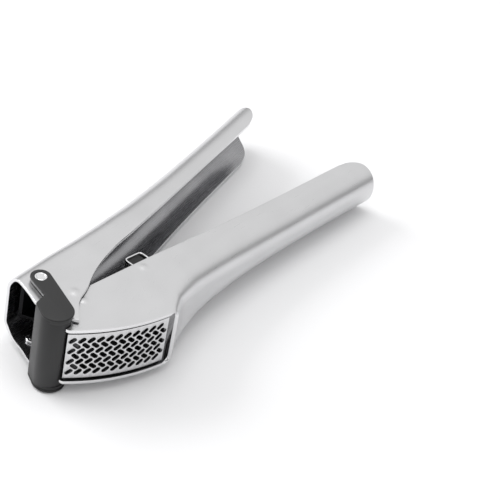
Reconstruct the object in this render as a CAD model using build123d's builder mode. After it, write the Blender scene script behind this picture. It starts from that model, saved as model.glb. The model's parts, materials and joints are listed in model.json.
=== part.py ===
"""Garlic press: two pressed steel handles hinged at the nose, a sieve insert, a hinged plunger
and a plastic locking bracket. Units are millimetres.

The press lies on its side. X runs along the lower handle towards its tip, Y points from the
lower handle to the upper one, and Z is the direction of every hinge axis. The origin is on the
main hinge axis, in the outer face of the bracket's lower arm, which is what the press rests on.
The upper handle, its plunger and the bracket are drawn closed and turned open about the main hinge.
"""
from build123d import *
import math
import os

# ---- driving dimensions -------------------------------------------------------------------
rest_opening = 14.5          # how far the upper handle stands open, degrees
sheet = 1.4                  # steel sheet of both handles
handle_length = 191.0        # main hinge to the lower handle's tip
upper_length = 190.0         # main hinge to the upper handle's tip
grip_half_width = 11.4       # both handles, outside, at the grip
chamber_half_width = 13.7    # lower handle, outside, at the garlic chamber
lower_edge = 7.0             # opening edge of the lower handle above the hinge
lower_grip_depth = 13.6      # lower handle, opening edge to web, at the grip
chamber_depth = 31.4         # opening edge to the lowest point of the chamber's rear
chamber_rear = 41.0          # where the web of the lower handle starts
upper_edge = 8.2             # opening edge of the closed upper handle above the hinge
upper_web = 22.5             # web of the closed upper handle above the hinge, at the grip
head_height = 28.6           # web of the closed upper handle above the hinge, at the nose
head_front = 8.4             # front edge of the closed upper handle's web

pin_radius = 2.5             # main hinge pin
hub_radius = 3.6             # what surrounds the pin between the bracket's web and the pin
ear_radius = 9.0             # rounded end of the upper handle's ears
latch_x, latch_y = 12.7, 15.8        # bracket hinge, on the closed upper handle
detent_reach, detent_angle = 16.2, 7.9   # click-lock bump, from the main hinge
clip_reach, clip_angle = 49.9, 4.1       # bump that the sieve insert snaps into
bump_radius = 1.9            # all embossed bumps
bump_height = 0.5
bump_taper = 32

sieve_radius = 78.2          # outer face of the curved sieve
sieve_front = (0.0, -7.35)   # two points the sieve's outer face passes through
sieve_rear = (45.0, -23.17)
sieve_thickness = 0.8
sieve_recess = 0.8           # sieve below the chamber's lower rim
slot_length, slot_width = 3.6, 1.9
slot_tilt = 40.0
slot_columns, slot_rows = 11, 7
slot_column_pitch, slot_row_pitch = 3.65, 2.64
first_slot_angle = 234.5     # of the first column, seen from the sieve's centre

insert_wall = 0.8
insert_front, insert_rear = 6.8, 45.0    # outer faces of the insert's end walls, from the hinge
insert_top = 4.6             # upper edge of the insert's walls
tab_width, tab_height, tab_length = 8.0, 9.4, 8.2
tab_sheet = 0.8
tab_left = 51.0              # from the main hinge

arm_thickness = 2.4          # bracket
arm_round = 6.6              # rounded end of the bracket's arms, near the main hinge
arm_x, arm_y = 0.0, -0.3     # its centre, on the closed upper handle
latch_round = 4.2            # rounded end about the rivets
web_radius = 6.3             # outer face of the bracket's web, about the main hinge
bracket_web = 1.4
web_end = 286.0              # where the web ends, on the closed handle's angles

plunger_pivot_x, plunger_pivot_y = 22.0, 11.5
plunger_pin_radius = 1.8
plunger_top = -2.0
foot_thickness = 1.4
hanger_sheet = 1.2

# ---- clearances ---------------------------------------------------------------------------
pin_clearance = 0.05         # radial, pins in turning holes
side_gap = 0.6               # lower handle's flange to the upper handle's ear
arm_gap = 0.3                # ear to bracket arm
insert_gap = 1.2             # lower handle's flange to the insert
plunger_gap = 0.6            # plunger to the insert's walls
seat_gap = 0.03              # pieces riveted or welded together
sweep_gap = 0.5              # bracket web to whatever it sweeps past

# ---- worked out ---------------------------------------------------------------------------
ear_inner = chamber_half_width + side_gap
ear_outer = ear_inner + sheet
arm_inner = ear_outer + arm_gap
half_width = arm_inner + arm_thickness
middle = half_width                       # the press's mid-plane, above the resting plane
chamber_inner = chamber_half_width - sheet
insert_half_width = chamber_inner - insert_gap
insert_inner = insert_half_width - insert_wall
foot_half_width = insert_inner - plunger_gap
sieve_chord = math.dist(sieve_front, sieve_rear)
sieve_rise = math.sqrt(sieve_radius ** 2 - (sieve_chord / 2) ** 2) / sieve_chord
sieve_center_x = (sieve_front[0] + sieve_rear[0]) / 2 + (sieve_front[1] - sieve_rear[1]) * sieve_rise
sieve_center_y = (sieve_front[1] + sieve_rear[1]) / 2 + (sieve_rear[0] - sieve_front[0]) * sieve_rise
rim_radius = sieve_radius + sieve_recess
web_inner_radius = web_radius - bracket_web
hook_radius = web_radius + 0.8 * sweep_gap
rivet_radius = 1.9
rivet_head_radius = 2.5
rivet_head = 0.9
rivet_recess = 0.1
collar_radius = 3.2
collar_thickness = 1.2


def mid(offset=0.0):
    """The drawing plane of the lower handle, offset from the press's mid-plane."""
    return Plane(origin=(0, 0, middle + offset))


turn = math.radians(rest_opening)


def turned(offset=0.0):
    """The same plane turned open with the upper handle."""
    return Plane(origin=(0, 0, middle + offset), x_dir=(math.cos(turn), math.sin(turn), 0),
                 z_dir=(0, 0, 1))


def across(x, opened):
    """The cross-section plane at x along a handle: local y is the handle's own Y."""
    direction = (math.cos(turn), math.sin(turn), 0) if opened else (1, 0, 0)
    return Plane(origin=(x * direction[0], x * direction[1], middle), x_dir=(0, 0, -1),
                 z_dir=direction)


def channel_section(web, half, corner, opening, side, inset):
    """A closed section of a channel: side is +1 where the web is above its opening."""
    half -= inset
    corner = min(max(corner - inset, 0.5), half - 0.4)
    web -= side * inset
    bend = web - side * corner
    reach = corner * (1 - math.sqrt(0.5))
    with BuildLine() as outline:
        Line((-half, opening), (-half, bend))
        ThreePointArc((-half, bend), (-half + reach, web - side * reach), (-half + corner, web))
        Line((-half + corner, web), (half - corner, web))
        ThreePointArc((half - corner, web), (half - reach, web - side * reach), (half, bend))
        Line((half, bend), (half, opening))
        Line((half, opening), (-half, opening))
    make_face(outline.edges())


def arc_point(radius, degrees, x=0.0, y=0.0):
    return (x + radius * math.cos(math.radians(degrees)), y + radius * math.sin(math.radians(degrees)))


def arc_through(radius, start, end, x=0.0, y=0.0):
    """An arc about (x, y) from one angle to another, in degrees."""
    ThreePointArc(arc_point(radius, start, x, y), arc_point(radius, (start + end) / 2, x, y),
                  arc_point(radius, end, x, y))


def sieve_arc_point(radius, x):
    """The point at x on the lower half of a circle about the sieve's centre."""
    return (x, sieve_center_y - math.sqrt(radius ** 2 - (x - sieve_center_x) ** 2))


def sieve_arc(radius, start_x, end_x):
    ThreePointArc(sieve_arc_point(radius, start_x), sieve_arc_point(radius, (start_x + end_x) / 2),
                  sieve_arc_point(radius, end_x))


def meet_angle(radius, arc_radius):
    """Angle at which a circle about the main hinge meets one about the sieve's centre, below the hinge."""
    low, high = -180.0, 0.0
    for _ in range(60):
        half = (low + high) / 2
        x, y = arc_point(radius, half)
        if math.hypot(x - sieve_center_x, y - sieve_center_y) > arc_radius:
            low = half
        else:
            high = half
    return high


# ---- lower handle -------------------------------------------------------------------------
grip_web = lower_edge - lower_grip_depth
rear_web = lower_edge - chamber_depth
wide, narrow = chamber_half_width, grip_half_width
lower_stations = [            # x, web, half width, corner radius
    (-12.0, rear_web - 9.0, wide, 2.4),
    (22.0, rear_web - 8.0, wide, 2.4),
    (34.0, rear_web - 4.8, wide, 3.4),
    (chamber_rear, rear_web - 1.1, wide, 3.4),
    (46.0, rear_web + 2.3, wide, 4.2),
    (52.0, rear_web + 5.6, wide, 5.8),
    (60.0, grip_web - 9.4, wide - 0.1, 7.5),
    (70.0, grip_web - 6.8, wide - 0.4, 9.0),
    (85.0, grip_web - 4.6, wide - 0.9, 10.3),
    (101.0, grip_web - 3.1, wide - 1.5, 10.8),
    (130.0, grip_web - 1.5, narrow + 0.1, 10.9),
    (155.0, grip_web - 0.5, narrow, 10.9),
    (handle_length + 6, grip_web + 0.7, narrow, 10.9),
]
hook_end = 10.0               # flange stays clear of the bracket's web up to this angle
edge_points = [(24.0, lower_edge + 0.3), (45.0, lower_edge), (82.0, lower_edge - 0.5),
               (110.0, lower_edge - 0.4), (handle_length - 14, lower_edge + 0.2)]

with BuildPart() as lower_handle:
    for x, web, half, corner in lower_stations:
        with BuildSketch(across(x, False)):
            channel_section(web, half, corner, 30, -1, 0)
    loft(ruled=True)
    for x, web, half, corner in lower_stations:
        with BuildSketch(across(x, False)):
            channel_section(web, half, corner, 40, -1, sheet)
    loft(ruled=True, mode=Mode.SUBTRACT)
    with BuildSketch(mid()):
        with BuildLine():
            Spline(edge_points)
            Spline(edge_points[-1], (handle_length - 4.5, lower_edge - 2.5), (handle_length, lower_edge - 9),
                   tangents=((1, 0.02), (-0.1, -1)))
            Line((handle_length, lower_edge - 9), (handle_length, -60))
            Line((handle_length, -60), (chamber_rear + 2, -60))
            Line((chamber_rear + 2, -60), sieve_arc_point(rim_radius, chamber_rear + 2))
            sieve_arc(rim_radius, chamber_rear + 2, -0.7)
            Line(sieve_arc_point(rim_radius, -0.7), arc_point(hook_radius, -96))
            arc_through(hook_radius, -96, hook_end)
            Line(arc_point(hook_radius, hook_end), arc_point(hub_radius, hook_end + 4))
            arc_through(hub_radius, hook_end + 4, -290)
            Line(arc_point(hub_radius, -290), edge_points[0])
        make_face()
    extrude(amount=half_width, both=True, mode=Mode.INTERSECT)
    with BuildSketch(mid(-half_width)):
        Circle(pin_radius + seat_gap)
    extrude(amount=2 * half_width, mode=Mode.SUBTRACT)
    for side in (1, -1):
        for reach, angle in ((detent_reach, detent_angle), (clip_reach, clip_angle)):
            with BuildSketch(mid(side * (chamber_half_width - sheet / 2))):
                with Locations(arc_point(reach, angle)):
                    Circle(bump_radius)
            extrude(amount=side * (sheet / 2 + bump_height), taper=bump_taper)
lower_handle.part.label = "lower_handle"

# ---- sieve --------------------------------------------------------------------------------
sieve_inner = sieve_radius - sieve_thickness
front_meet = meet_angle(insert_front, sieve_inner)
rear_meet = meet_angle(insert_rear, sieve_inner)
slot_step = math.degrees(slot_column_pitch / sieve_radius)


def sieve_angle(point):
    return math.degrees(math.atan2(point[1] - sieve_center_y, point[0] - sieve_center_x)) % 360


sieve_start = sieve_angle(arc_point(insert_front, front_meet))
sieve_end = sieve_angle(arc_point(insert_rear, rear_meet))
with BuildPart() as sieve_plate:
    with BuildSketch(mid()):
        with BuildLine():
            arc_through(sieve_radius, sieve_start, sieve_end, sieve_center_x, sieve_center_y)
            Line(arc_point(sieve_radius, sieve_end, sieve_center_x, sieve_center_y),
                 arc_point(sieve_inner, sieve_end, sieve_center_x, sieve_center_y))
            arc_through(sieve_inner, sieve_end, sieve_start, sieve_center_x, sieve_center_y)
            Line(arc_point(sieve_inner, sieve_start, sieve_center_x, sieve_center_y),
                 arc_point(sieve_radius, sieve_start, sieve_center_x, sieve_center_y))
        make_face()
    extrude(amount=insert_half_width, both=True)
    for parity, lean in ((0, slot_tilt), (1, -slot_tilt)):
        starts = []
        for row in range(parity, slot_rows, 2):
            height = middle + (row - (slot_rows - 1) / 2) * slot_row_pitch
            for column in range(slot_columns):
                angle = math.radians(first_slot_angle + (column + parity / 2) * slot_step)
                outward = (math.cos(angle), math.sin(angle), 0)
                starts.append(Plane(origin=(sieve_center_x + (sieve_radius - 2) * outward[0],
                                            sieve_center_y + (sieve_radius - 2) * outward[1], height),
                                    x_dir=(-outward[1], outward[0], 0), z_dir=outward))
        with BuildSketch(*starts):
            SlotOverall(slot_length, slot_width, rotation=lean)
        extrude(amount=4, mode=Mode.SUBTRACT)
sieve_plate.part.label = "sieve_plate"

# ---- insert frame: end walls and cheeks that the sieve is welded under ---------------------
cavity_front, cavity_rear = insert_front + insert_wall, insert_rear - insert_wall
front_top = math.degrees(math.asin(min(insert_top / insert_front, 0.95)))
rear_top = math.degrees(math.asin(insert_top / insert_rear))
with BuildPart() as insert_frame:
    with BuildSketch(mid()):
        with BuildLine():
            arc_through(sieve_inner, sieve_start, sieve_end, sieve_center_x, sieve_center_y)
            arc_through(insert_rear, rear_meet, rear_top)
            Line(arc_point(insert_rear, rear_top), arc_point(insert_front, front_top))
            arc_through(insert_front, front_top, front_meet)
        make_face()
    extrude(amount=insert_half_width, both=True)
    with BuildSketch(mid()):
        Circle(cavity_rear)
        Circle(cavity_front, mode=Mode.SUBTRACT)
        with Locations((cavity_rear, 0)):
            Rectangle(2 * cavity_rear, 4 * cavity_rear, mode=Mode.INTERSECT)
    extrude(amount=insert_inner, both=True, mode=Mode.SUBTRACT)
insert_frame.part.label = "insert_frame"

cheek_inner = insert_half_width - 1.0
arm_tip = clip_reach + 3
with BuildPart() as insert_arms:
    for side in (1, -1):
        with BuildSketch(mid(side * cheek_inner)):
            with BuildLine():
                arc_through(insert_rear, -6, rear_top)
                Line(arc_point(insert_rear, rear_top), (arm_tip - 2, insert_top + 1.6))
                Line((arm_tip - 2, insert_top + 1.6), (arm_tip, insert_top - 3))
                Line((arm_tip, insert_top - 3), arc_point(insert_rear, -6))
            make_face()
        extrude(amount=side * (insert_half_width - cheek_inner))
        with BuildSketch(mid(side * insert_half_width)):
            with Locations(arc_point(clip_reach, clip_angle)):
                Circle(bump_radius * 0.7)
        extrude(amount=side * (insert_gap - 0.05))
insert_arms.part.label = "insert_arms"

bar_top = insert_top - 1.8
bar_length = tab_left + tab_length + 1.5 - insert_rear - 0.6
tab_top = insert_top + tab_height + 0.6
with BuildPart() as lift_tab:
    with BuildSketch(mid(cheek_inner - tab_width)):
        with BuildLine():
            FilletPolyline((tab_left, bar_top + tab_sheet / 2), (tab_left - 0.4, tab_top),
                           (tab_left + tab_length, tab_top - 0.3),
                           (tab_left + tab_length + 0.6, bar_top + tab_sheet / 2), radius=1.6)
            offset(amount=tab_sheet / 2, side=Side.BOTH)
        make_face()
    extrude(amount=tab_width)
lift_tab.part.label = "lift_tab"

with BuildPart() as tab_grip:
    with BuildSketch(mid(cheek_inner - tab_width + 1)):
        with Locations((tab_left + tab_length / 2 + 0.05, (bar_top + tab_top) / 2)):
            Rectangle(tab_length - tab_sheet - 1.1, tab_top - bar_top - tab_sheet - 0.5)
    extrude(amount=tab_width - 2)
    fillet(tab_grip.edges().filter_by(Axis.Z), 0.8)
tab_grip.part.label = "tab_grip"

with BuildPart() as tab_bar:
    with BuildSketch(mid()):
        with Locations((insert_rear + 0.4 + bar_length / 2, bar_top - 0.6)):
            Rectangle(bar_length, 1.2)
    extrude(amount=cheek_inner, both=True)
tab_bar.part.label = "tab_bar"

# ---- main hinge ---------------------------------------------------------------------------
with BuildPart() as pivot_pin:
    with BuildSketch(mid()):
        Circle(pin_radius)
    extrude(amount=ear_outer, both=True)
    chamfer(pivot_pin.edges().filter_by(GeomType.CIRCLE), 0.3)
pivot_pin.part.label = "pivot_pin"

with BuildPart() as pivot_sleeve:
    with BuildSketch(mid()):
        Circle(hub_radius - 0.1)
        Circle(pin_radius + seat_gap, mode=Mode.SUBTRACT)
    extrude(amount=chamber_inner, both=True)
pivot_sleeve.part.label = "pivot_sleeve"

washers = {}
for name, side in (("washer_top", 1), ("washer_bottom", -1)):
    with BuildPart() as washer:
        with BuildSketch(mid(side * chamber_half_width)):
            Circle(hub_radius - 0.1)
            Circle(pin_radius + seat_gap, mode=Mode.SUBTRACT)
        extrude(amount=side * (side_gap - 0.1))
    washer.part.label = name
    washers[name] = washer.part

# ---- upper handle -------------------------------------------------------------------------
upper_stations = [            # x, web, half width, corner radius
    (-6.0, head_height + 1.2, ear_outer, 8.0),
    (6.0, head_height + 0.3, ear_outer, 8.0),
    (28.0, head_height - 2.0, ear_outer, 8.2),
    (50.0, upper_web + 1.7, ear_outer, 9.4),
    (66.0, upper_web + 0.5, ear_outer - 0.2, 10.0),
    (88.0, upper_web - 0.3, grip_half_width + 3.0, 10.4),
    (105.0, upper_web - 0.3, grip_half_width + 2.1, 10.6),
    (125.0, upper_web, grip_half_width + 1.3, 10.8),
    (155.0, upper_web + 0.6, grip_half_width + 0.6, 10.9),
    (upper_length + 6, upper_web + 1.7, grip_half_width, 10.9),
]
upper_edge_points = [(50.0, upper_edge - 2.6), (66.0, upper_edge - 2.5), (88.0, upper_edge - 1.7),
                     (125.0, upper_edge), (upper_length - 16, upper_edge + 1.3)]

with BuildPart() as upper_handle:
    for x, web, half, corner in upper_stations:
        with BuildSketch(across(x, True)):
            channel_section(web, half, corner, -20, 1, 0)
    loft(ruled=True)
    for x, web, half, corner in upper_stations:
        with BuildSketch(across(x, True)):
            channel_section(web, half, corner, -30, 1, sheet)
    loft(ruled=True, mode=Mode.SUBTRACT)
    with BuildSketch(turned()):
        with BuildLine():
            Spline(upper_edge_points)
            Spline(upper_edge_points[-1], (upper_length - 5, upper_edge + 5), (upper_length, upper_edge + 13),
                   tangents=((1, 0.1), (0.1, 1)))
            Line((upper_length, upper_edge + 13), (upper_length, 45))
            Line((upper_length, 45), (head_front + 1.4, 45))
            Line((head_front + 1.4, 45), (head_front + 1.2, head_height - 2))
            Spline((head_front + 1.2, head_height - 2), (head_front - 3.4, 16.4), (1.3, 10.0), (0.6, hub_radius + 1.4))
            Line((0.6, hub_radius + 1.4), arc_point(hub_radius, 110))
            arc_through(hub_radius, 110, web_end + 4)
            Line(arc_point(hub_radius, web_end + 4), arc_point(ear_radius, web_end + 5))
            arc_through(ear_radius, web_end + 5, 318)
            Spline(arc_point(ear_radius, 318), (13.4, -2.0), (22.2, 0.1), (34.0, 3.6), upper_edge_points[0],
                   tangents=(Vector(1, 0.9), Vector(1, 0.06)))
        make_face()
    extrude(amount=half_width, both=True, mode=Mode.INTERSECT)
    with BuildSketch(turned(-half_width)):
        Circle(pin_radius + pin_clearance)
        with Locations((latch_x, latch_y)):
            Circle(rivet_radius + seat_gap)
    extrude(amount=2 * half_width, mode=Mode.SUBTRACT)
    for side in (1, -1):
        with BuildSketch(turned(side * ear_inner)):
            with Locations(arc_point(detent_reach, detent_angle)):
                Circle(bump_radius + 0.6)
        extrude(amount=side * (sheet + bump_height), taper=bump_taper)
        with BuildSketch(turned(side * (ear_inner - 0.01))):
            with Locations(arc_point(detent_reach, detent_angle)):
                Circle(bump_radius)
        extrude(amount=side * (bump_height + 0.01), taper=bump_taper, mode=Mode.SUBTRACT)
upper_handle.part.label = "upper_handle"

# ---- bracket ------------------------------------------------------------------------------
notch_inner = (4.2, 8.5)
notch_outer = (-1.5, 8.4)
arm_length = math.hypot(latch_x - arm_x, latch_y - arm_y)
toward_latch = math.degrees(math.atan2(latch_y - arm_y, latch_x - arm_x))
right_angle = toward_latch - 90 + math.degrees(math.asin((arm_round - latch_round) / arm_length))


def tangent_angle(radius, x, y):
    """Where the line from the notch's outer corner touches a circle about (x, y)."""
    from_center = (notch_outer[0] - x, notch_outer[1] - y)
    return (math.degrees(math.atan2(from_center[1], from_center[0]))
            + math.degrees(math.acos(radius / math.hypot(*from_center))))


left_angle = tangent_angle(arm_round, arm_x, arm_y)
web_start = tangent_angle(web_radius, 0, 0)
lip_start = web_end - 10      # the web thins out from here, so that it swings past the hinge
lip_sheet = 0.5


with BuildPart() as bracket:
    for side in (1, -1):
        with BuildSketch(turned(side * arm_inner)):
            with BuildLine():
                arc_through(arm_round, left_angle, right_angle + 360, arm_x, arm_y)
                Line(arc_point(arm_round, right_angle, arm_x, arm_y),
                     arc_point(latch_round, right_angle, latch_x, latch_y))
                arc_through(latch_round, right_angle, right_angle + 182, latch_x, latch_y)
                Line(arc_point(latch_round, right_angle + 182, latch_x, latch_y), notch_inner)
                Line(notch_inner, notch_outer)
                Line(notch_outer, arc_point(arm_round, left_angle, arm_x, arm_y))
            make_face()
        extrude(amount=side * arm_thickness)
    with BuildSketch(turned()):
        with BuildLine():
            arc_through(web_radius, web_start, web_end)
            Line(arc_point(web_radius, web_end), arc_point(web_radius - lip_sheet, web_end))
            Line(arc_point(web_radius - lip_sheet, web_end), arc_point(web_inner_radius, lip_start))
            arc_through(web_inner_radius, lip_start, web_start)
            inward = (notch_outer[0] + bracket_web * 0.9, notch_outer[1] - bracket_web * 0.4)
            Line(arc_point(web_inner_radius, web_start), inward)
            Line(inward, notch_outer)
            Line(notch_outer, arc_point(web_radius, web_start))
        make_face()
    extrude(amount=arm_inner, both=True)
    for side in (1, -1):
        with BuildSketch(turned(side * arm_inner)):
            with Locations((latch_x, latch_y)):
                Circle(rivet_radius + pin_clearance)
        extrude(amount=side * arm_thickness, mode=Mode.SUBTRACT)
        with BuildSketch(turned(side * (half_width - rivet_recess - rivet_head - 0.1))):
            with Locations((latch_x, latch_y)):
                Circle(rivet_head_radius + pin_clearance)
        extrude(amount=side * arm_thickness, mode=Mode.SUBTRACT)
bracket.part.label = "bracket"

rivets = {}
for name, side in (("top", 1), ("bottom", -1)):
    shank_start = ear_inner - collar_thickness
    head_start = half_width - rivet_recess - rivet_head
    with BuildPart() as rivet:
        with BuildSketch(turned(side * shank_start)):
            with Locations((latch_x, latch_y)):
                Circle(rivet_radius)
        extrude(amount=side * (head_start - shank_start))
        with BuildSketch(turned(side * head_start)):
            with Locations((latch_x, latch_y)):
                Circle(rivet_head_radius)
        extrude(amount=side * rivet_head)
        with BuildSketch(turned(side * shank_start)):
            with Locations((latch_x, latch_y)):
                Circle(rivet_radius - 0.7)
        extrude(amount=side * (head_start - shank_start), mode=Mode.SUBTRACT)
    rivet.part.label = "rivet_" + name
    rivets[rivet.part.label] = rivet.part
    with BuildPart() as collar:
        with BuildSketch(turned(side * ear_inner)):
            with Locations((latch_x, latch_y)):
                Circle(collar_radius)
                Circle(rivet_radius + seat_gap, mode=Mode.SUBTRACT)
        extrude(amount=-side * collar_thickness)
    collar.part.label = "collar_" + name
    rivets[collar.part.label] = collar.part

# ---- plunger ------------------------------------------------------------------------------
hanger_half_width = foot_half_width - 1.0
hanger_inner = hanger_half_width - hanger_sheet
hanger_reach = head_height - 1.6 - sheet
plunger_front, plunger_rear = 10.4, cavity_rear - plunger_gap - 0.4
foot_radius = sieve_inner - plunger_gap
lug_half = hanger_inner - 0.35

with BuildPart() as plunger_hanger:
    with BuildSketch(turned()):
        with BuildLine():
            Line((plunger_pivot_x - 3.4, plunger_pivot_y), (plunger_pivot_x - 7, hanger_reach - 0.2))
            Line((plunger_pivot_x - 7, hanger_reach - 0.2), (plunger_pivot_x + 9, hanger_reach - 0.95))
            Line((plunger_pivot_x + 9, hanger_reach - 0.95), (plunger_pivot_x + 3.4, plunger_pivot_y))
            ThreePointArc((plunger_pivot_x + 3.4, plunger_pivot_y), (plunger_pivot_x, plunger_pivot_y - 3.4),
                          (plunger_pivot_x - 3.4, plunger_pivot_y))
        make_face()
    extrude(amount=hanger_half_width, both=True)
    with BuildSketch(turned()):
        with Locations((plunger_pivot_x, hanger_reach - 1.6 - 30)):
            Rectangle(60, 60)
    extrude(amount=hanger_inner, both=True, mode=Mode.SUBTRACT)
    with BuildSketch(turned()):
        with Locations((plunger_pivot_x, plunger_pivot_y)):
            Circle(plunger_pin_radius + seat_gap)
    extrude(amount=half_width, both=True, mode=Mode.SUBTRACT)
plunger_hanger.part.label = "plunger_hanger"

with BuildPart() as plunger_pin:
    with BuildSketch(turned()):
        with Locations((plunger_pivot_x, plunger_pivot_y)):
            Circle(plunger_pin_radius)
    extrude(amount=hanger_half_width + 0.8, both=True)
    chamfer(plunger_pin.edges().filter_by(GeomType.CIRCLE), 0.3)
plunger_pin.part.label = "plunger_pin"


def plunger_outline(bottom, top, front, rear):
    """A ring sector about the main hinge, cut below by the sieve's curve and above by a line."""
    start, end = meet_angle(front, bottom), meet_angle(rear, bottom)
    start_point, end_point = arc_point(front, start), arc_point(rear, end)
    front_top = -math.degrees(math.asin(-top / front)) if abs(top) < front else start
    rear_top = -math.degrees(math.asin(-top / rear))
    middle_x = (start_point[0] + end_point[0]) / 2
    with BuildLine() as outline:
        ThreePointArc(start_point, sieve_arc_point(bottom, middle_x), end_point)
        arc_through(rear, end, rear_top)
        Line(arc_point(rear, rear_top), arc_point(front, front_top))
        arc_through(front, front_top, start)
    make_face(outline.edges())


with BuildPart() as plunger_foot:
    with BuildSketch(turned()):
        plunger_outline(foot_radius, -6.0, plunger_front, plunger_rear)
        with BuildSketch(mode=Mode.INTERSECT):
            with Locations((sieve_center_x, sieve_center_y)):
                Circle(foot_radius + 1)
                Circle(foot_radius - foot_thickness, mode=Mode.SUBTRACT)
    extrude(amount=foot_half_width, both=True)
plunger_foot.part.label = "plunger_foot"

block_radius = foot_radius - foot_thickness
block_rear = plunger_rear - 2.0
with BuildPart() as plunger_block:
    with BuildSketch(turned()):
        plunger_outline(block_radius, plunger_top, plunger_front + 1.2, block_rear)
    extrude(amount=foot_half_width - 1.2, both=True)
    with BuildSketch(turned()):
        with BuildLine():
            Line((plunger_pivot_x - 3.6, plunger_pivot_y), (plunger_pivot_x - 7, plunger_top))
            Line((plunger_pivot_x - 7, plunger_top), (plunger_pivot_x + 13, plunger_top))
            Line((plunger_pivot_x + 13, plunger_top), (plunger_pivot_x + 3.6, plunger_pivot_y))
            ThreePointArc((plunger_pivot_x + 3.6, plunger_pivot_y), (plunger_pivot_x, plunger_pivot_y + 3.6),
                          (plunger_pivot_x - 3.6, plunger_pivot_y))
        make_face()
    extrude(amount=lug_half, both=True)
    with BuildSketch(turned()):
        with Locations((plunger_pivot_x, plunger_pivot_y)):
            Circle(plunger_pin_radius + pin_clearance)
    extrude(amount=half_width, both=True, mode=Mode.SUBTRACT)
plunger_block.part.label = "plunger_block"

# ---- export -------------------------------------------------------------------------------
os.makedirs("parts", exist_ok=True)
pieces = [lower_handle.part, sieve_plate.part, insert_frame.part, insert_arms.part, lift_tab.part, tab_grip.part,
          tab_bar.part, pivot_pin.part, pivot_sleeve.part, upper_handle.part, bracket.part,
          plunger_hanger.part, plunger_pin.part, plunger_foot.part, plunger_block.part]
pieces += list(washers.values()) + list(rivets.values())
for piece in pieces:
    export_step(piece, "parts/" + piece.label + ".step")
    print(piece.label, round(piece.volume, 1), len(piece.solids()))
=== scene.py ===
import bpy
import bmesh
import json
import math
import numpy as np
from mathutils import Matrix, Vector, geometry


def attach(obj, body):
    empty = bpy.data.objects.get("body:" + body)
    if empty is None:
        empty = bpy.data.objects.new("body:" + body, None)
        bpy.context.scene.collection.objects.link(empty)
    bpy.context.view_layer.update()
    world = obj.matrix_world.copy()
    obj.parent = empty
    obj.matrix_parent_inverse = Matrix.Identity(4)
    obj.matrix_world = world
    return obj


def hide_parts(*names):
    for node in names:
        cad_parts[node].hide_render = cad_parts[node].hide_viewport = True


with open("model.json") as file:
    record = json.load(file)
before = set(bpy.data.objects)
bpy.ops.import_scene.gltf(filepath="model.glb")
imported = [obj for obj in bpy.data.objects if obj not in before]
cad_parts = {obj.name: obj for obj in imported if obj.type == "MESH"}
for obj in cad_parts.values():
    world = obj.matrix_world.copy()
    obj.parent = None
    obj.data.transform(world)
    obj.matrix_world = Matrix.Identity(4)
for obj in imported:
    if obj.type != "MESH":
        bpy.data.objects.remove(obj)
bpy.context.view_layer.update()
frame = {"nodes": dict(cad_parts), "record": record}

mm = 0.001
jointPlaces = {joint["name"]: joint for joint in frame["record"]["behaviour"]["joints"]}
middle = jointPlaces["handle_hinge"]["pos_m"][2]          # the press's mid-plane above the floor
restOpening = 14.5                                        # degrees, upper handle at rest


# small helpers
def linear(hexColour):
    parts = [int(hexColour[i:i + 2], 16) / 255 for i in (0, 2, 4)]
    return [c / 12.92 if c <= 0.04045 else ((c + 0.055) / 1.055) ** 2.4 for c in parts] + [1.0]


def addNode(tree, kind, settings=None, inputs=None, links=None):
    # one node with its settings, its input values and what feeds its inputs
    node = tree.nodes.new(kind)
    for name, value in (settings or {}).items():
        setattr(node, name, value)
    for name, value in (inputs or {}).items():
        node.inputs[name].default_value = value
    for name, socket in (links or {}).items():
        tree.links.new(socket, node.inputs[name])
    return node


def newMaterial(name, colour, metallic, roughness):
    material = bpy.data.materials.new(name)
    material.use_nodes = True
    shader = material.node_tree.nodes["Principled BSDF"]
    shader.inputs["Base Color"].default_value = linear(colour)
    shader.inputs["Metallic"].default_value = metallic
    shader.inputs["Roughness"].default_value = roughness
    return material, material.node_tree, shader


def smoothTable(rows):
    # a smooth curve through rows of (x, a, b, ...), with flat overshoot kept out
    rows = np.array(rows, float)
    xs, values = rows[:, 0], rows[:, 1:]
    steps = np.diff(xs)[:, None]
    slopes = np.diff(values, axis=0) / steps
    tangents = np.zeros_like(values)
    tangents[0], tangents[-1] = slopes[0], slopes[-1]
    for i in range(1, len(xs) - 1):
        before, after = slopes[i - 1], slopes[i]
        same = before * after > 0
        weight = 2 * before * after / np.where(same, before + after, 1)
        tangents[i] = np.where(same, weight, 0)

    def at(x):
        i = int(np.clip(np.searchsorted(xs, x) - 1, 0, len(xs) - 2))
        h = xs[i + 1] - xs[i]
        t = (x - xs[i]) / h
        return ((2 * t ** 3 - 3 * t ** 2 + 1) * values[i] + (t ** 3 - 2 * t ** 2 + t) * h * tangents[i]
                + (3 * t ** 2 - 2 * t ** 3) * values[i + 1] + (t ** 3 - t ** 2) * h * tangents[i + 1])
    return at


def arcPoints(radius, start, end, centre=(0, 0), step=0.6):
    count = max(3, int(abs(math.radians(end - start)) * radius / step))
    angles = np.radians(np.linspace(start, end, count + 1))
    return [(centre[0] + radius * math.cos(a), centre[1] + radius * math.sin(a)) for a in angles]


def splinePoints(points, step=0.6):
    # Catmull-Rom through the points
    points = [np.array(p, float) for p in points]
    padded = [2 * points[0] - points[1]] + points + [2 * points[-1] - points[-2]]
    result = []
    for a, b, c, d in zip(padded, padded[1:], padded[2:], padded[3:]):
        count = max(2, int(np.linalg.norm(c - b) / step))
        for i in range(count):
            t = i / count
            result.append(tuple(0.5 * (2 * b + (c - a) * t + (2 * a - 5 * b + 4 * c - d) * t * t
                                       + (3 * b - a - 3 * c + d) * t ** 3)))
    return result + [tuple(points[-1])]


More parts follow.
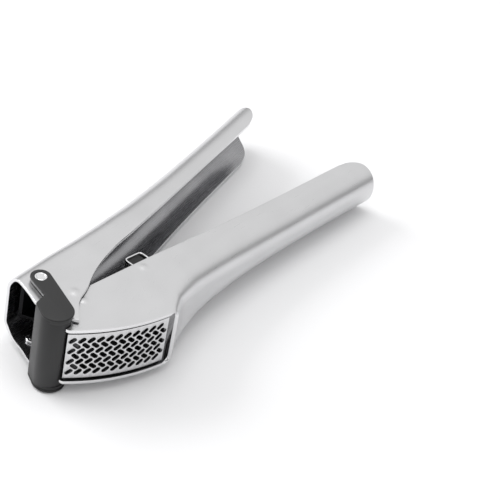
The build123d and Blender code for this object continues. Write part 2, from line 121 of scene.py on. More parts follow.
def resampled(points, step):
    points = np.array(points, float)
    lengths = np.concatenate([[0], np.cumsum(np.linalg.norm(np.diff(points, axis=0), axis=1))])
    count = max(2, int(round(lengths[-1] / step)))
    wanted = np.linspace(0, lengths[-1], count + 1)
    return [(float(np.interp(w, lengths, points[:, 0])), float(np.interp(w, lengths, points[:, 1])))
            for w in wanted]


def placed(points, opened):
    # millimetres in a handle's own frame to metres in the row frame
    turn = math.radians(restOpening) if opened else 0.0
    c, s = math.cos(turn), math.sin(turn)
    return [((x * c - y * s) * mm, (x * s + y * c) * mm, z * mm + middle) for x, y, z in points]


def meshObject(name, points, faces, smooth=True):
    mesh = bpy.data.meshes.new(name)
    mesh.from_pydata(points, [], faces)
    mesh.update()
    for polygon in mesh.polygons:
        polygon.use_smooth = smooth
    piece = bpy.data.objects.new(name, mesh)
    bpy.context.collection.objects.link(piece)
    return piece


def finished(piece, modifiers, sharpDegrees=35):
    # applies modifiers, so the piece is a plain mesh with nothing live on it
    for kind, settings in modifiers:
        modifier = piece.modifiers.new(kind.title(), kind)
        for name, value in settings.items():
            setattr(modifier, name, value)
    graph = bpy.context.evaluated_depsgraph_get()
    graph.update()
    mesh = bpy.data.meshes.new_from_object(piece.evaluated_get(graph))
    piece.modifiers.clear()
    piece.data = mesh
    for polygon in mesh.polygons:
        polygon.use_smooth = True
    mesh.set_sharp_from_angle(angle=math.radians(sharpDegrees))
    return piece


def prism(name, outline, low, high, opened):
    # a side-view outline carried straight through from low to high
    area = sum(a[0] * b[1] - b[0] * a[1] for a, b in zip(outline, outline[1:] + outline[:1]))
    if area < 0:
        outline = outline[::-1]
    count = len(outline)
    points = [(x, y, low) for x, y in outline] + [(x, y, high) for x, y in outline]
    faces = [list(range(count))[::-1], list(range(count, 2 * count))]
    faces += [[i, (i + 1) % count, (i + 1) % count + count, i + count] for i in range(count)]
    return meshObject(name, placed(points, opened), faces)


def lathe(name, profile, centre, opened, sides=48):
    # profile of (radius, z), closed on itself, turned about an axis along Z
    angles = [2 * math.pi * i / sides for i in range(sides)]
    points, rings = [], []
    for radius, z in profile:
        ring = []
        for angle in (angles if radius > 0 else [0.0]):
            ring.append(len(points))
            points.append((centre[0] + radius * math.cos(angle), centre[1] + radius * math.sin(angle), z))
        rings.append(ring * (1 if radius > 0 else sides))
    faces = []
    for lower, upper in zip(rings, rings[1:] + rings[:1]):
        for i in range(sides):
            j = (i + 1) % sides
            face = list(dict.fromkeys([lower[i], lower[j], upper[j], upper[i]]))
            if len(face) > 2:
                faces.append(face)
    return meshObject(name, placed(points, opened), faces)


def joined(name, pieces):
    # one object out of several, all of them drawn at the origin
    shell = bmesh.new()
    for piece in pieces:
        shell.from_mesh(piece.data)
    bmesh.ops.recalc_face_normals(shell, faces=shell.faces)
    mesh = bpy.data.meshes.new(name)
    shell.to_mesh(mesh)
    shell.free()
    for piece in pieces:
        bpy.data.objects.remove(piece)
    whole = bpy.data.objects.new(name, mesh)
    bpy.context.collection.objects.link(whole)
    return whole


def cutter(piece, profile, centre, opened):
    # takes a turned shape out of a piece
    tool = lathe("cutter", profile, centre, opened)
    shell = bmesh.new()
    shell.from_mesh(tool.data)
    bmesh.ops.recalc_face_normals(shell, faces=shell.faces)
    shell.to_mesh(tool.data)
    shell.free()
    finished(piece, [("BOOLEAN", {"operation": "DIFFERENCE", "solver": "EXACT", "object": tool})])
    bpy.data.objects.remove(tool)


def handOver(piece, node, body):
    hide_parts(node)
    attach(piece, body)


# materials
grainPitch = 0.35            # mm between brushed lines


def brushedSteel(name, roughness, grainLength, alongUv=True, colours=("D2D2D3", "D6D6D7")):
    # 18/10 stainless sheet, satin brushed: soft long highlights that run with the grain. Real lines are
    # about 0.1 mm apart, drawn here at grainPitch so that they show
    material, tree, shader = newMaterial(name, colours[1], 1.0, roughness)
    coordinate = addNode(tree, "ShaderNodeUVMap", {"uv_map": "sheet"}) if alongUv else \
        addNode(tree, "ShaderNodeTexCoord")
    source = coordinate.outputs["UV"] if alongUv else coordinate.outputs["Object"]
    unit = 1.0 if alongUv else 1000.0
    across = unit / grainPitch
    stretched = addNode(tree, "ShaderNodeMapping", inputs={"Scale": (unit / grainLength, across, across)},
                        links={"Vector": source})
    grain = addNode(tree, "ShaderNodeTexNoise", inputs={"Scale": 1.0, "Detail": 4.0, "Roughness": 0.6},
                    links={"Vector": stretched.outputs["Vector"]})
    cloud = addNode(tree, "ShaderNodeTexNoise", inputs={"Scale": 0.06 * unit, "Detail": 2.0},
                    links={"Vector": source})
    rough = addNode(tree, "ShaderNodeMapRange",
                    inputs={"From Min": 0.3, "From Max": 0.7,
                            "To Min": roughness - 0.03, "To Max": roughness + 0.03},
                    links={"Value": grain.outputs["Fac"]})
    tone = addNode(tree, "ShaderNodeValToRGB", links={"Fac": cloud.outputs["Fac"]})
    tone.color_ramp.elements[0].position, tone.color_ramp.elements[1].position = 0.35, 0.7
    tone.color_ramp.elements[0].color = linear(colours[0])
    tone.color_ramp.elements[1].color = linear(colours[1])
    bump = addNode(tree, "ShaderNodeBump", inputs={"Strength": 0.03, "Distance": 0.00002},
                   links={"Height": grain.outputs["Fac"]})
    tree.links.new(rough.outputs["Result"], shader.inputs["Roughness"])
    tree.links.new(tone.outputs["Color"], shader.inputs["Base Color"])
    tree.links.new(bump.outputs["Normal"], shader.inputs["Normal"])
    return material


def polishedSteel():
    # tumbled and polished sheet edges, pins and strap: bright, nearly a mirror
    material, tree, shader = newMaterial("polished stainless", "E4E4E5", 1.0, 0.16)
    coordinate = addNode(tree, "ShaderNodeTexCoord")
    haze = addNode(tree, "ShaderNodeTexNoise", inputs={"Scale": 900.0, "Detail": 3.0},
                   links={"Vector": coordinate.outputs["Object"]})
    rough = addNode(tree, "ShaderNodeMapRange", inputs={"To Min": 0.12, "To Max": 0.24},
                    links={"Value": haze.outputs["Fac"]})
    tree.links.new(rough.outputs["Result"], shader.inputs["Roughness"])
    return material


def mouldedPlastic(name, colour, roughness):
    # black nylon from a spark-eroded mould: matt, with a fine even grain of about 0.15 mm, drawn at
    # 0.3 mm so that it shows
    material, tree, shader = newMaterial(name, colour, 0.0, roughness)
    coordinate = addNode(tree, "ShaderNodeTexCoord")
    grain = addNode(tree, "ShaderNodeTexVoronoi", inputs={"Scale": 1000 / 0.3},
                    links={"Vector": coordinate.outputs["Object"]})
    haze = addNode(tree, "ShaderNodeTexNoise", inputs={"Scale": 120.0, "Detail": 3.0},
                   links={"Vector": coordinate.outputs["Object"]})
    rough = addNode(tree, "ShaderNodeMapRange",
                    inputs={"To Min": roughness - 0.06, "To Max": roughness + 0.08},
                    links={"Value": haze.outputs["Fac"]})
    bump = addNode(tree, "ShaderNodeBump", inputs={"Strength": 0.25, "Distance": 0.00003},
                   links={"Height": grain.outputs["Distance"]})
    tree.links.new(rough.outputs["Result"], shader.inputs["Roughness"])
    tree.links.new(bump.outputs["Normal"], shader.inputs["Normal"])
    return material


satin = brushedSteel("satin brushed stainless", 0.30, 14.0)
# inner faces are drawn darker: inside a channel the steel mirrors mostly steel in shade
satinInner = brushedSteel("satin stainless, inner faces", 0.27, 14.0, colours=("929294", "9E9EA0"))
satinPlain = brushedSteel("satin stainless, small parts", 0.30, 6.0, alongUv=False)
polished = polishedSteel()
nylon = mouldedPlastic("moulded black nylon", "171718", 0.38)
# rounded edges and recesses of the moulding are drawn rougher and blacker than its faces; the blacker colour is
# painted shade
nylonEdge = mouldedPlastic("moulded black nylon, edges", "0C0C0D", 0.55)
# the insert's frame and the plunger are drawn darker than their steel is, as painted shade: they are only seen as
# dull steel in shade
satinDark = brushedSteel("satin stainless, insert, painted shade", 0.34, 6.0, alongUv=False, colours=("8A8A8C", "949496"))
# plunger foot and hanger: near-black steel, a painted shade, not a heat tint
shadowSteel = brushedSteel("dark steel in painted shade", 0.34, 6.0, alongUv=False, colours=("1E1E1F", "262627"))
print("materials made")


# handles: each is drawn as its flat blank, x along the handle and s across the sheet
class Channel:
    def __init__(self, settings):
        self.side = settings["side"]
        self.at = smoothTable(settings["stations"])

    def blank(self, x, y):
        # side-view point on a flange to its distance across the sheet from the middle of the web
        web, half, corner = self.at(x)
        depth = self.side * (web - y)
        if depth >= corner:
            return half - corner + corner * math.pi / 2 + depth - corner
        return half - corner + corner * math.acos(min(1, 1 - depth / corner))

    def folded(self, x, s):
        web, half, corner = self.at(x)
        across = abs(s)
        flat = half - corner
        if across < flat:
            y, z = web, across
        elif across < flat + corner * math.pi / 2:
            angle = (across - flat) / corner
            y, z = web - self.side * corner * (1 - math.cos(angle)), flat + corner * math.sin(angle)
        else:
            y, z = web - self.side * (corner + across - flat - corner * math.pi / 2), half
        return x, y, z if s >= 0 else -z


def sheetPiece(name, settings, outline, webFront, opened):
    # outline: side view of one flange, from the front of the web round the opening to the tip
    channel = Channel(settings)
    path = [(x, channel.blank(x, y)) for x, y in outline]
    path = resampled([(webFront, 0.0)] + path, settings["step"])
    last = path[-1]
    if last[1] > 0.5:
        path += [(last[0], s) for s in np.linspace(last[1], 0, 6)[1:-1]] + [(last[0], 0.0)]
    loop = path + [(x, -s) for x, s in reversed(path[1:-1])]
    step = settings["step"]
    count = len(loop)
    polygon = np.array(loop)
    xs = np.arange(polygon[:, 0].min() + step, polygon[:, 0].max(), step)
    reach = polygon[:, 1].max()
    rows = np.arange(-int(reach / step), int(reach / step) + 1) * step
    inner = insidePoints(polygon, xs, rows, step * 0.45)
    points = [Vector(p) for p in loop]
    edges = [(i, (i + 1) % count) for i in range(count)]
    for cx, cy, radius in settings["holes"]:
        for sign in (1, -1):
            ring = [(x, sign * channel.blank(x, y)) for x, y in arcPoints(radius, 0, 360, (cx, cy), 0.4)[:-1]]
            first = len(points)
            points += [Vector(p) for p in ring]
            edges += [(first + i, first + (i + 1) % len(ring)) for i in range(len(ring))]
            centre = (cx, sign * channel.blank(cx, cy))
            inner = [p for p in inner if math.dist(p, centre) > radius + 0.3]
    points += [Vector(p) for p in inner]
    result = geometry.delaunay_2d_cdt(points, edges, [], 1, 1e-5)
    flat, faces = result[0], result[2]
    faces = [face for face in faces if not inHoles(channel, settings["holes"], flat, face)]
    folded = [channel.folded(p[0], p[1]) for p in flat]
    raised = [bumped(p, settings["bumps"]) for p in folded]
    if settings["flip"]:
        faces = [list(reversed(face)) for face in faces]
    piece = meshObject(name, placed(raised, opened), faces)
    layer = piece.data.uv_layers.new(name="sheet")
    for loopItem in piece.data.loops:
        point = flat[loopItem.vertex_index]
        layer.data[loopItem.index].uv = (point[0], point[1])
    for material in (satin, polished, satinInner):
        piece.data.materials.append(material)
    finished(piece, [("SOLIDIFY", {"thickness": settings["sheet"] * mm, "offset": -1.0, "use_even_offset": True,
                                   "material_offset_rim": 1, "material_offset": 2,
                                   "use_quality_normals": True}),
                     ("BEVEL", {"width": 0.3 * mm, "segments": 3, "limit_method": "ANGLE",
                                "angle_limit": math.radians(50), "harden_normals": False})], 60)
    return piece


def insidePoints(polygon, xs, rows, clearance):
    start, end = polygon, np.roll(polygon, -1, axis=0)
    result = []
    for x in xs:
        for s in rows:
            crossing = ((start[:, 1] > s) != (end[:, 1] > s))
            with np.errstate(divide="ignore", invalid="ignore"):
                at = start[:, 0] + (s - start[:, 1]) * (end[:, 0] - start[:, 0]) / (end[:, 1] - start[:, 1])
            if np.count_nonzero(crossing & (at > x)) % 2 == 0:
                continue
            along = end - start
            t = np.clip(((x - start[:, 0]) * along[:, 0] + (s - start[:, 1]) * along[:, 1])
                        / np.maximum((along ** 2).sum(axis=1), 1e-12), 0, 1)
            gap = np.hypot(start[:, 0] + t * along[:, 0] - x, start[:, 1] + t * along[:, 1] - s)
            if gap.min() > clearance:
                result.append((x, s))
    return result


def inHoles(channel, holes, flat, face):
    x = sum(flat[i][0] for i in face) / len(face)
    across = abs(sum(flat[i][1] for i in face) / len(face))
    return any(math.dist((x, across), (cx, channel.blank(cx, cy))) < radius * 0.99
               for cx, cy, radius in holes)


def bumped(point, bumps):
    # raises a round embossed bump out of the flange, with a soft foot
    spread, onFlange = 1.3, 8          # foot over bump radius, and mm from the mid-plane
    x, y, z = point
    for cx, cy, radius, height in bumps:
        distance = math.hypot(x - cx, y - cy) / radius
        if distance < spread and abs(z) > onFlange:
            z += math.copysign(height * (1 - (distance / spread) ** 2) ** 2, z)
    return x, y, z


detent = arcPoints(16.2, 7.9, 7.9)[0]
clip = arcPoints(49.9, 4.1, 4.1)[0]
latch = (12.7, 15.8)
lowerHandle = {
    "side": -1, "sheet": 1.4, "step": 0.9, "flip": False,
    "stations": [(-12, -33.4, 13.7, 2.4), (22, -32.4, 13.7, 2.4), (34, -29.2, 13.7, 3.4), (41, -25.5, 13.7, 3.4),
                 (46, -22.1, 13.7, 4.2), (52, -18.8, 13.7, 5.8), (60, -16.0, 13.6, 7.5), (70, -13.4, 13.3, 9.0),
                 (85, -11.2, 12.8, 10.3), (101, -9.7, 12.2, 10.8), (130, -8.1, 11.5, 10.9),
                 (155, -7.1, 11.4, 10.9), (197, -5.9, 11.4, 10.9)],
    "holes": [(0.0, 0.0, 2.53)], "bumps": [(*detent, 2.0, 0.42), (*clip, 2.0, 0.42)],
}
rimCentre, rimRadius = (47.2, 55.0), 78.97


def rimY(x):
    return rimCentre[1] - math.sqrt(rimRadius ** 2 - (x - rimCentre[0]) ** 2)


lowerOutline = [(x, rimY(x)) for x in np.arange(43.0, -0.8, -0.6)]
lowerOutline += arcPoints(6.7, -96, 10) + arcPoints(3.6, 14, -290)
lowerOutline += splinePoints([(24.0, 7.3), (45.0, 7.0), (82.0, 6.5), (110.0, 6.6), (150.0, 7.0), (177.0, 7.2)])
lowerOutline += splinePoints([(177.0, 7.2), (183.4, 6.2), (188.2, 2.8), (190.1, -1.2), (190.6, -4.4)])[1:]

upperHandle = {
    "side": 1, "sheet": 1.4, "step": 0.9, "flip": True,
    "stations": [(-6, 29.8, 15.7, 8.0), (6, 28.9, 15.7, 8.0), (28, 26.6, 15.7, 8.2), (50, 24.2, 15.7, 9.4),
                 (66, 23.0, 15.5, 10.0), (88, 22.2, 14.4, 10.4), (105, 22.2, 13.5, 10.6), (125, 22.5, 12.7, 10.8),
                 (155, 23.1, 12.0, 10.9), (196, 24.2, 11.4, 10.9)],
    "holes": [(0.0, 0.0, 2.55), (*latch, 1.93)], "bumps": [(*detent, 2.3, 0.42)],
}
upperOutline = splinePoints([(9.7, 28.4), (9.5, 26.0), (5.0, 16.4), (1.3, 10.0), (0.6, 5.0)])
upperOutline += arcPoints(3.6, 110, 290) + arcPoints(9.0, 291, 318)
upperOutline += splinePoints([arcPoints(9.0, 317, 318)[-1], (13.4, -2.0), (22.2, 0.1), (34.0, 3.6), (50.0, 5.6),
                              (66.0, 5.7), (88.0, 6.5), (125.0, 8.2), (174.0, 9.5)])[1:]
upperOutline += splinePoints([(174.0, 9.5), (181.6, 11.6), (186.4, 15.2), (188.6, 19.2), (189.5, 23.0)])[1:]

lowerSheet = sheetPiece("lowerHandleSheet", lowerHandle, lowerOutline, 43.0, False)
handOver(lowerSheet, "lower_handle", "lower_grip")
upperSheet = sheetPiece("upperHandleSheet", upperHandle, upperOutline, 9.7, True)
handOver(upperSheet, "upper_handle", "upper_grip")
print("handles made")

# the locking bracket: two arms and the shell that joins them round the hinge
bracketParts = {
    "armCentre": (0.0, -0.3), "armRound": 6.6, "latchRound": 4.2, "notchInner": (4.2, 8.5),
    "notchOuter": (-1.5, 8.4), "armInner": 16.0, "halfWidth": 18.4, "webRound": 6.3, "webSheet": 1.4,
    "webEnd": 286.0, "armBevel": 0.4, "plateSheet": 1.05, "step": 0.35,
}


def tangentAngle(point, centre, radius):
    dx, dy = point[0] - centre[0], point[1] - centre[1]
    return math.degrees(math.atan2(dy, dx) + math.acos(radius / math.hypot(dx, dy)))


def armOutline(b, inset):
    big, small = b["armRound"] - inset, b["latchRound"] - inset
    length = math.dist(latch, b["armCentre"])
    toward = math.degrees(math.atan2(latch[1] - b["armCentre"][1], latch[0] - b["armCentre"][0]))
    right = toward - 90 + math.degrees(math.asin((big - small) / length))
    outer = (b["notchOuter"][0] + inset, b["notchOuter"][1] - inset)
    inner = (b["notchInner"][0] + inset, b["notchInner"][1] - inset)
    left = tangentAngle(outer, b["armCentre"], big)
    outline = arcPoints(big, left, right + 360, b["armCentre"])
    return outline + arcPoints(small, right, right + 182, latch) + [inner, outer]


def bracketShape(b):
    # each arm is a base with a wider plate on it, which leaves a shadow line round the moulding
    arms = []
    split = b["halfWidth"] - b["plateSheet"]
    layers = ((b["armInner"] + 0.01, split + 0.05, b["step"], 0.12),
              (split, b["halfWidth"], 0.0, b["armBevel"]))
    for side in (1, -1):
        for near, far, inset, bevel in layers:
            low, high = sorted((side * near, side * far))
            arm = prism("arm", armOutline(b, inset), low, high, True)
            arm.data.materials.append(nylon)
            arm.data.materials.append(nylonEdge)
            # the bevel faces take the blacker edge nylon, a painted shade
            finished(arm, [("BEVEL", {"width": bevel * mm, "segments": 3, "limit_method": "ANGLE",
                                      "angle_limit": math.radians(40), "material": 1})])
            bore = [(0, side * 15.5), (1.95, side * 15.5), (1.95, side * 17.3), (2.55, side * 17.3),
                    (2.55, side * 18.25), (2.75, side * 18.5), (2.75, side * 19.0), (0, side * 19.0)]
            cutter(arm, bore, latch, True)
            arms.append(arm)
    start = tangentAngle(b["notchOuter"], (0, 0), b["webRound"])
    inner = b["webRound"] - b["webSheet"]
    inward = (b["notchOuter"][0] + b["webSheet"] * 0.9, b["notchOuter"][1] - b["webSheet"] * 0.4)
    shell = arcPoints(b["webRound"], start, b["webEnd"])
    shell += arcPoints(b["webRound"] - 0.5, b["webEnd"], b["webEnd"])[:1]
    shell += arcPoints(inner, b["webEnd"] - 10, start) + [inward, b["notchOuter"]]
    web = prism("web", shell, -split - 0.02, split + 0.02, True)
    finished(web, [("BEVEL", {"width": 0.22 * mm, "segments": 2, "limit_method": "ANGLE",
                              "angle_limit": math.radians(50)})])
    return joined("bracketMoulding", arms + [web])


bracket = bracketShape(bracketParts)
bracket.data.materials.append(nylon)
bracket.data.materials.append(nylonEdge)
finished(bracket, [], 40)
handOver(bracket, "bracket", "lock")
print("bracket made")

# sieve: a curved plate with staggered slots, each row leaning the other way
sieve = {
    "centre": rimCentre, "radius": 78.2, "thickness": 0.8, "halfWidth": 11.1, "front": 6.8, "rear": 45.0,
    "columns": 11, "rows": 7, "columnPitch": 3.65, "rowPitch": 2.64, "firstAngle": 234.5, "tilt": 40.0,
    "slotLength": 3.6, "slotWidth": 1.9,
}


def circlesMeet(radius, centre, otherRadius):
    # the lower of the two points where a circle about the hinge meets another circle
    gap = math.hypot(*centre)
    along = (radius ** 2 - otherRadius ** 2 + gap ** 2) / (2 * gap)
    aside = math.sqrt(radius ** 2 - along ** 2)
    ux, uy = centre[0] / gap, centre[1] / gap
    both = [(along * ux - sign * aside * uy, along * uy + sign * aside * ux) for sign in (1, -1)]
    return min(both, key=lambda point: point[1])


def sieveAngle(radius):
    x, y = circlesMeet(radius, sieve["centre"], sieve["radius"] - sieve["thickness"])
    return math.degrees(math.atan2(y - sieve["centre"][1], x - sieve["centre"][0])) % 360


def slotPoints(s):
    mesh = bpy.data.meshes.new("slotPoints")
    step = math.degrees(s["columnPitch"] / s["radius"])
    places, turns = [], []
    for row in range(s["rows"]):
        for column in range(s["columns"]):
            angle = math.radians(s["firstAngle"] + (column + (row % 2) / 2) * step)
            outward = Vector((math.cos(angle), math.sin(angle), 0))
            along = Vector((-outward.y, outward.x, 0))
            lean = math.radians(s["tilt"] if row % 2 == 0 else -s["tilt"])
            axis = along * math.cos(lean) + Vector((0, 0, 1)) * math.sin(lean)
            deep = s["radius"] - 2          # each cutting slot starts 2 mm inside the plate's outer face
            places.append((s["centre"][0] + deep * outward.x, s["centre"][1] + deep * outward.y,
                           (row - (s["rows"] - 1) / 2) * s["rowPitch"]))
            turns.append(Matrix((axis, outward.cross(axis), outward)).transposed().to_euler())
    mesh.from_pydata(placed(places, False), [], [])
    layer = mesh.attributes.new("turn", "FLOAT_VECTOR", "POINT")
    layer.data.foreach_set("vector", [value for turn in turns for value in turn])
    piece = bpy.data.objects.new("slotPoints", mesh)
    bpy.context.collection.objects.link(piece)
    return piece


def slotTree(plate, material):
    # cuts one rounded slot at every point out of the plate
    tree = bpy.data.node_groups.new("slots", "GeometryNodeTree")
    tree.interface.new_socket("Points", in_out="INPUT", socket_type="NodeSocketGeometry")
    length = tree.interface.new_socket("Slot length", in_out="INPUT", socket_type="NodeSocketFloat")
    width = tree.interface.new_socket("Slot width", in_out="INPUT", socket_type="NodeSocketFloat")
    tree.interface.new_socket("Geometry", in_out="OUTPUT", socket_type="NodeSocketGeometry")
    given = tree.nodes.new("NodeGroupInput")
    turn = addNode(tree, "GeometryNodeInputNamedAttribute", {"data_type": "FLOAT_VECTOR"}, {"Name": "turn"})
    rotation = addNode(tree, "FunctionNodeEulerToRotation", links={"Euler": turn.outputs["Attribute"]})
    frameCurve = addNode(tree, "GeometryNodeCurvePrimitiveQuadrilateral",
                         links={"Width": given.outputs["Slot length"], "Height": given.outputs["Slot width"]})
    corner = addNode(tree, "ShaderNodeMath", {"operation": "MULTIPLY"}, {1: 0.49},
                     {0: given.outputs["Slot width"]})
    rounded = addNode(tree, "GeometryNodeFilletCurve", {"mode": "POLY"}, {"Count": 5},
                      {"Curve": frameCurve.outputs["Curve"], "Radius": corner.outputs["Value"]})
    cap = addNode(tree, "GeometryNodeFillCurve", {"mode": "NGONS"}, links={"Curve": rounded.outputs["Curve"]})
    raised = addNode(tree, "GeometryNodeExtrudeMesh", inputs={"Offset Scale": 0.004, "Individual": False},
                     links={"Mesh": cap.outputs["Mesh"]})
    under = addNode(tree, "GeometryNodeFlipFaces", links={"Mesh": cap.outputs["Mesh"]})
    whole = tree.nodes.new("GeometryNodeJoinGeometry")
    tree.links.new(raised.outputs["Mesh"], whole.inputs["Geometry"])
    tree.links.new(under.outputs["Mesh"], whole.inputs["Geometry"])
    closed = addNode(tree, "GeometryNodeMergeByDistance", inputs={"Distance": 0.00001},
                     links={"Geometry": whole.outputs["Geometry"]})
    spread = addNode(tree, "GeometryNodeInstanceOnPoints",
                     links={"Points": given.outputs["Points"], "Instance": closed.outputs["Geometry"],
                            "Rotation": rotation.outputs["Rotation"]})
    real = addNode(tree, "GeometryNodeRealizeInstances", links={"Geometry": spread.outputs["Instances"]})
    source = addNode(tree, "GeometryNodeObjectInfo", {"transform_space": "RELATIVE"}, {"Object": plate})
    cut = addNode(tree, "GeometryNodeMeshBoolean", {"operation": "DIFFERENCE", "solver": "EXACT"},
                  links={"Mesh 1": source.outputs["Geometry"], "Mesh 2": real.outputs["Geometry"]})
    painted = addNode(tree, "GeometryNodeSetMaterial", inputs={"Material": material},
                      links={"Geometry": cut.outputs["Mesh"]})
    addNode(tree, "NodeGroupOutput", links={"Geometry": painted.outputs["Geometry"]})
    return tree, length.identifier, width.identifier


def sievePlate(s):
    start, end = sieveAngle(s["front"]), sieveAngle(s["rear"])
    outline = arcPoints(s["radius"], start, end, s["centre"])
    outline += arcPoints(s["radius"] - s["thickness"], end, start, s["centre"])
    plate = prism("plate", outline, -s["halfWidth"], s["halfWidth"], False)
    piece = slotPoints(s)
    tree, lengthSocket, widthSocket = slotTree(plate, satinPlain)
    modifier = piece.modifiers.new("Slots", "NODES")
    modifier.node_group = tree
    modifier[lengthSocket], modifier[widthSocket] = s["slotLength"] * mm, s["slotWidth"] * mm
    graph = bpy.context.evaluated_depsgraph_get()
    mesh = bpy.data.meshes.new_from_object(piece.evaluated_get(graph))
    piece.modifiers.clear()
    piece.data = mesh
    bpy.data.objects.remove(plate)
    mesh.materials.append(polished)
    piece.name = "sieveSlotted"
    return finished(piece, [("BEVEL", {"width": 0.09 * mm, "segments": 2, "limit_method": "ANGLE",
                                       "angle_limit": math.radians(55), "material": 1})], 40)


sievePiece = sievePlate(sieve)
handOver(sievePiece, "sieve_plate", "lower_grip")
print("sieve made,", len(sievePiece.data.polygons), "faces")

# rivets, collars, pins: turned parts
turnedParts = {"headRadius": 2.5, "headTop": 18.3, "headLow": 17.4, "shank": 1.9, "bore": 1.2, "end": 13.1,
               "collarRadius": 3.2, "collarTop": 14.3, "pinRadius": 2.5, "pinEnd": 15.7}
t = turnedParts
for name, side in (("top", 1), ("bottom", -1)):
    head = [(0, t["headTop"] - 0.2), (1.72, t["headTop"] - 0.2), (1.86, t["headTop"] - 0.06), (1.98, t["headTop"]),
            (2.22, t["headTop"]), (2.42, t["headTop"] - 0.08), (t["headRadius"], t["headTop"] - 0.26),
            (t["headRadius"], t["headLow"]), (t["shank"], t["headLow"]), (t["shank"], t["end"]),
            (t["bore"], t["end"]), (t["bore"], t["headLow"]), (0, t["headLow"])]
    rivet = lathe("rivetTurned" + name, [(r, side * z) for r, z in head], latch, True)
    rivet = joined("rivetHead" + name, [rivet])
    rivet.data.materials.append(polished)
    finished(rivet, [], 40)
    handOver(rivet, "rivet_" + name, "upper_grip")
    ring = [(1.95, t["collarTop"] - 0.02), (t["collarRadius"] - 0.2, t["collarTop"] - 0.02),
            (t["collarRadius"], t["collarTop"] - 0.2), (t["collarRadius"], t["end"] + 0.25),
            (t["collarRadius"] - 0.25, t["end"]), (2.15, t["end"]), (1.95, t["end"] + 0.2)]
    collar = lathe("collarTurned" + name, [(r, side * z) for r, z in ring], latch, True)
    collar = joined("collarRing" + name, [collar])
    collar.data.materials.append(polished)
    finished(collar, [], 40)
    handOver(collar, "collar_" + name, "upper_grip")
pinProfile = [(0, t["pinEnd"]), (t["pinRadius"] - 0.35, t["pinEnd"]), (t["pinRadius"] - 0.1, t["pinEnd"] - 0.1),
              (t["pinRadius"], t["pinEnd"] - 0.35)]
pinProfile += [(r, -z) for r, z in reversed(pinProfile)]
pin = joined("hingePin", [lathe("pin", pinProfile, (0, 0), False)])
pin.data.materials.append(polished)
finished(pin, [], 40)
handOver(pin, "pivot_pin", "lower_grip")
print("turned parts made")

# lift tab: a bent strip standing on the insert's bar
strip = {"left": 51.0, "base": 3.2, "length": 8.2, "top": 14.6, "sheet": 0.8, "radius": 1.6,
         "low": 2.1, "high": 10.1}


def roundedPath(points, radius):
    result = [points[0]]
    for before, here, after in zip(points, points[1:], points[2:]):
        before, here, after = Vector(before), Vector(here), Vector(after)
        into, out = (here - before).normalized(), (after - here).normalized()
        turn = into.angle(out)
        reach = radius * math.tan(turn / 2)
        start, end = here - into * reach, here + out * reach
        for i in range(9):
            f = i / 8
            result.append(tuple((1 - f) ** 2 * start + 2 * f * (1 - f) * here + f * f * end))
    return result + [points[-1]]


def thickened(path, thickness):
    path = [Vector(p) for p in path]
    offsets = []
    for i, p in enumerate(path):
        along = (path[min(i + 1, len(path) - 1)] - path[max(i - 1, 0)]).normalized()
        offsets.append(Vector((-along.y, along.x)) * thickness / 2)
    pairs = list(zip(path, offsets))
    return [tuple(p + o) for p, o in pairs] + [tuple(p - o) for p, o in reversed(pairs)]


loop = roundedPath([(strip["left"], strip["base"]), (strip["left"] - 0.4, strip["top"]),
                    (strip["left"] + strip["length"], strip["top"] - 0.3),
                    (strip["left"] + strip["length"] + 0.6, strip["base"])], strip["radius"])
tab = prism("liftTab", thickened(loop, strip["sheet"]), strip["low"], strip["high"], False)
tab.data.materials.append(polished)
finished(tab, [("BEVEL", {"width": 0.25 * mm, "segments": 3, "limit_method": "ANGLE",
                          "angle_limit": math.radians(50)})])
handOver(tab, "lift_tab", "lower_grip")
print("lift tab made")

# the CAD nodes that keep their shape
finishes = {
    # insert frame, plunger hanger and plunger foot take steels darkened with painted shade
    "insert_frame": satinDark, "tab_grip": nylonEdge, "insert_arms": satinPlain, "tab_bar": satinPlain,
    "pivot_sleeve": satinPlain, "washer_top": polished, "washer_bottom": polished,
    "plunger_hanger": shadowSteel, "plunger_pin": polished,
    "plunger_foot": shadowSteel, "plunger_block": nylon,
}
for nodeName, material in finishes.items():
    node = frame["nodes"][nodeName]
    if not node.data.materials:
        node.data.materials.append(material)
    for slot in node.material_slots:
        slot.material = material
print("CAD nodes painted")

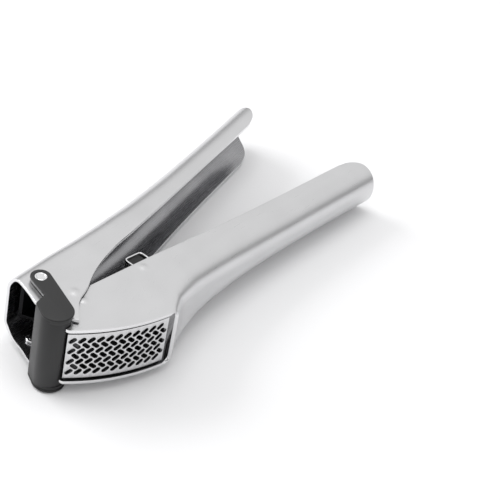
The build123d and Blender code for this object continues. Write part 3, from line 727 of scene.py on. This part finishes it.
# studio
studio = {
    "floorColour": "EBEBEC", "tilt": math.degrees(math.atan2(6.7, 188.0)),
    "sky": [(0.0, 0.2), (0.12, 0.22), (0.36, 0.85), (0.6, 0.92), (0.98, 0.8)], "skyStrength": 1.05,
}
floorMesh = bpy.data.meshes.new("floor")
slope = math.tan(math.radians(studio["tilt"]))
corners = [(-3, -3), (3, -3), (3, 3), (-3, 3)]
floorMesh.from_pydata([(x, y, x * slope - 0.0004) for x, y in corners], [], [(0, 1, 2, 3)])
floor = bpy.data.objects.new("floor", floorMesh)
bpy.context.collection.objects.link(floor)
floorMesh.materials.append(newMaterial("matt white paper", studio["floorColour"], 0.0, 0.9)[0])

world = bpy.data.worlds.new("studio")
bpy.context.scene.world = world
world.use_nodes = True
worldTree = world.node_tree
background = worldTree.nodes["Background"]
direction = addNode(worldTree, "ShaderNodeTexCoord")
upward = addNode(worldTree, "ShaderNodeSeparateXYZ", links={"Vector": direction.outputs["Generated"]})
fade = addNode(worldTree, "ShaderNodeValToRGB", links={"Fac": upward.outputs["Z"]})
for position, grey in studio["sky"]:
    stop = fade.color_ramp.elements.new(position)
    stop.color = (grey, grey, grey, 1)
fade.color_ramp.elements.remove(fade.color_ramp.elements[0])
worldTree.links.new(fade.outputs["Color"], background.inputs["Color"])
background.inputs["Strength"].default_value = studio["skyStrength"]


def softbox(name, place, target, size, power):
    light = bpy.data.lights.new(name, "AREA")
    light.shape = "RECTANGLE"
    light.size, light.size_y = size
    light.energy = power
    lamp = bpy.data.objects.new(name, light)
    bpy.context.collection.objects.link(lamp)
    lamp.location = place
    lamp.rotation_euler = (Vector(target) - Vector(place)).to_track_quat("-Z", "Y").to_euler()
    return lamp


softbox("key softbox", (-0.25, 0.85, 0.6), (0.08, 0.0, 0.0), (0.7, 0.5), 6.0)
softbox("top softbox", (0.05, 0.1, 0.9), (0.08, 0.0, 0.0), (0.6, 0.5), 2.0)

camera = {"place": (-0.33618, -0.32001, 0.42734), "forward": (0.652752, 0.463833, -0.598977),
          "right": (0.670968, -0.721062, 0.172835), "lens": 115.2}
cameraData = bpy.data.cameras.new("camera")
cameraData.lens = camera["lens"]
cameraData.sensor_width = 36.0
cameraData.clip_start = 0.01
cameraObject = bpy.data.objects.new("camera", cameraData)
bpy.context.collection.objects.link(cameraObject)
right, forward = Vector(camera["right"]), Vector(camera["forward"])
up = right.cross(forward)
turned = Matrix((right, up, -forward)).transposed().to_4x4()
cameraObject.matrix_world = Matrix.Translation(camera["place"]) @ turned
bpy.context.scene.camera = cameraObject
bpy.context.scene.view_settings.view_transform = "Standard"
print("studio made")
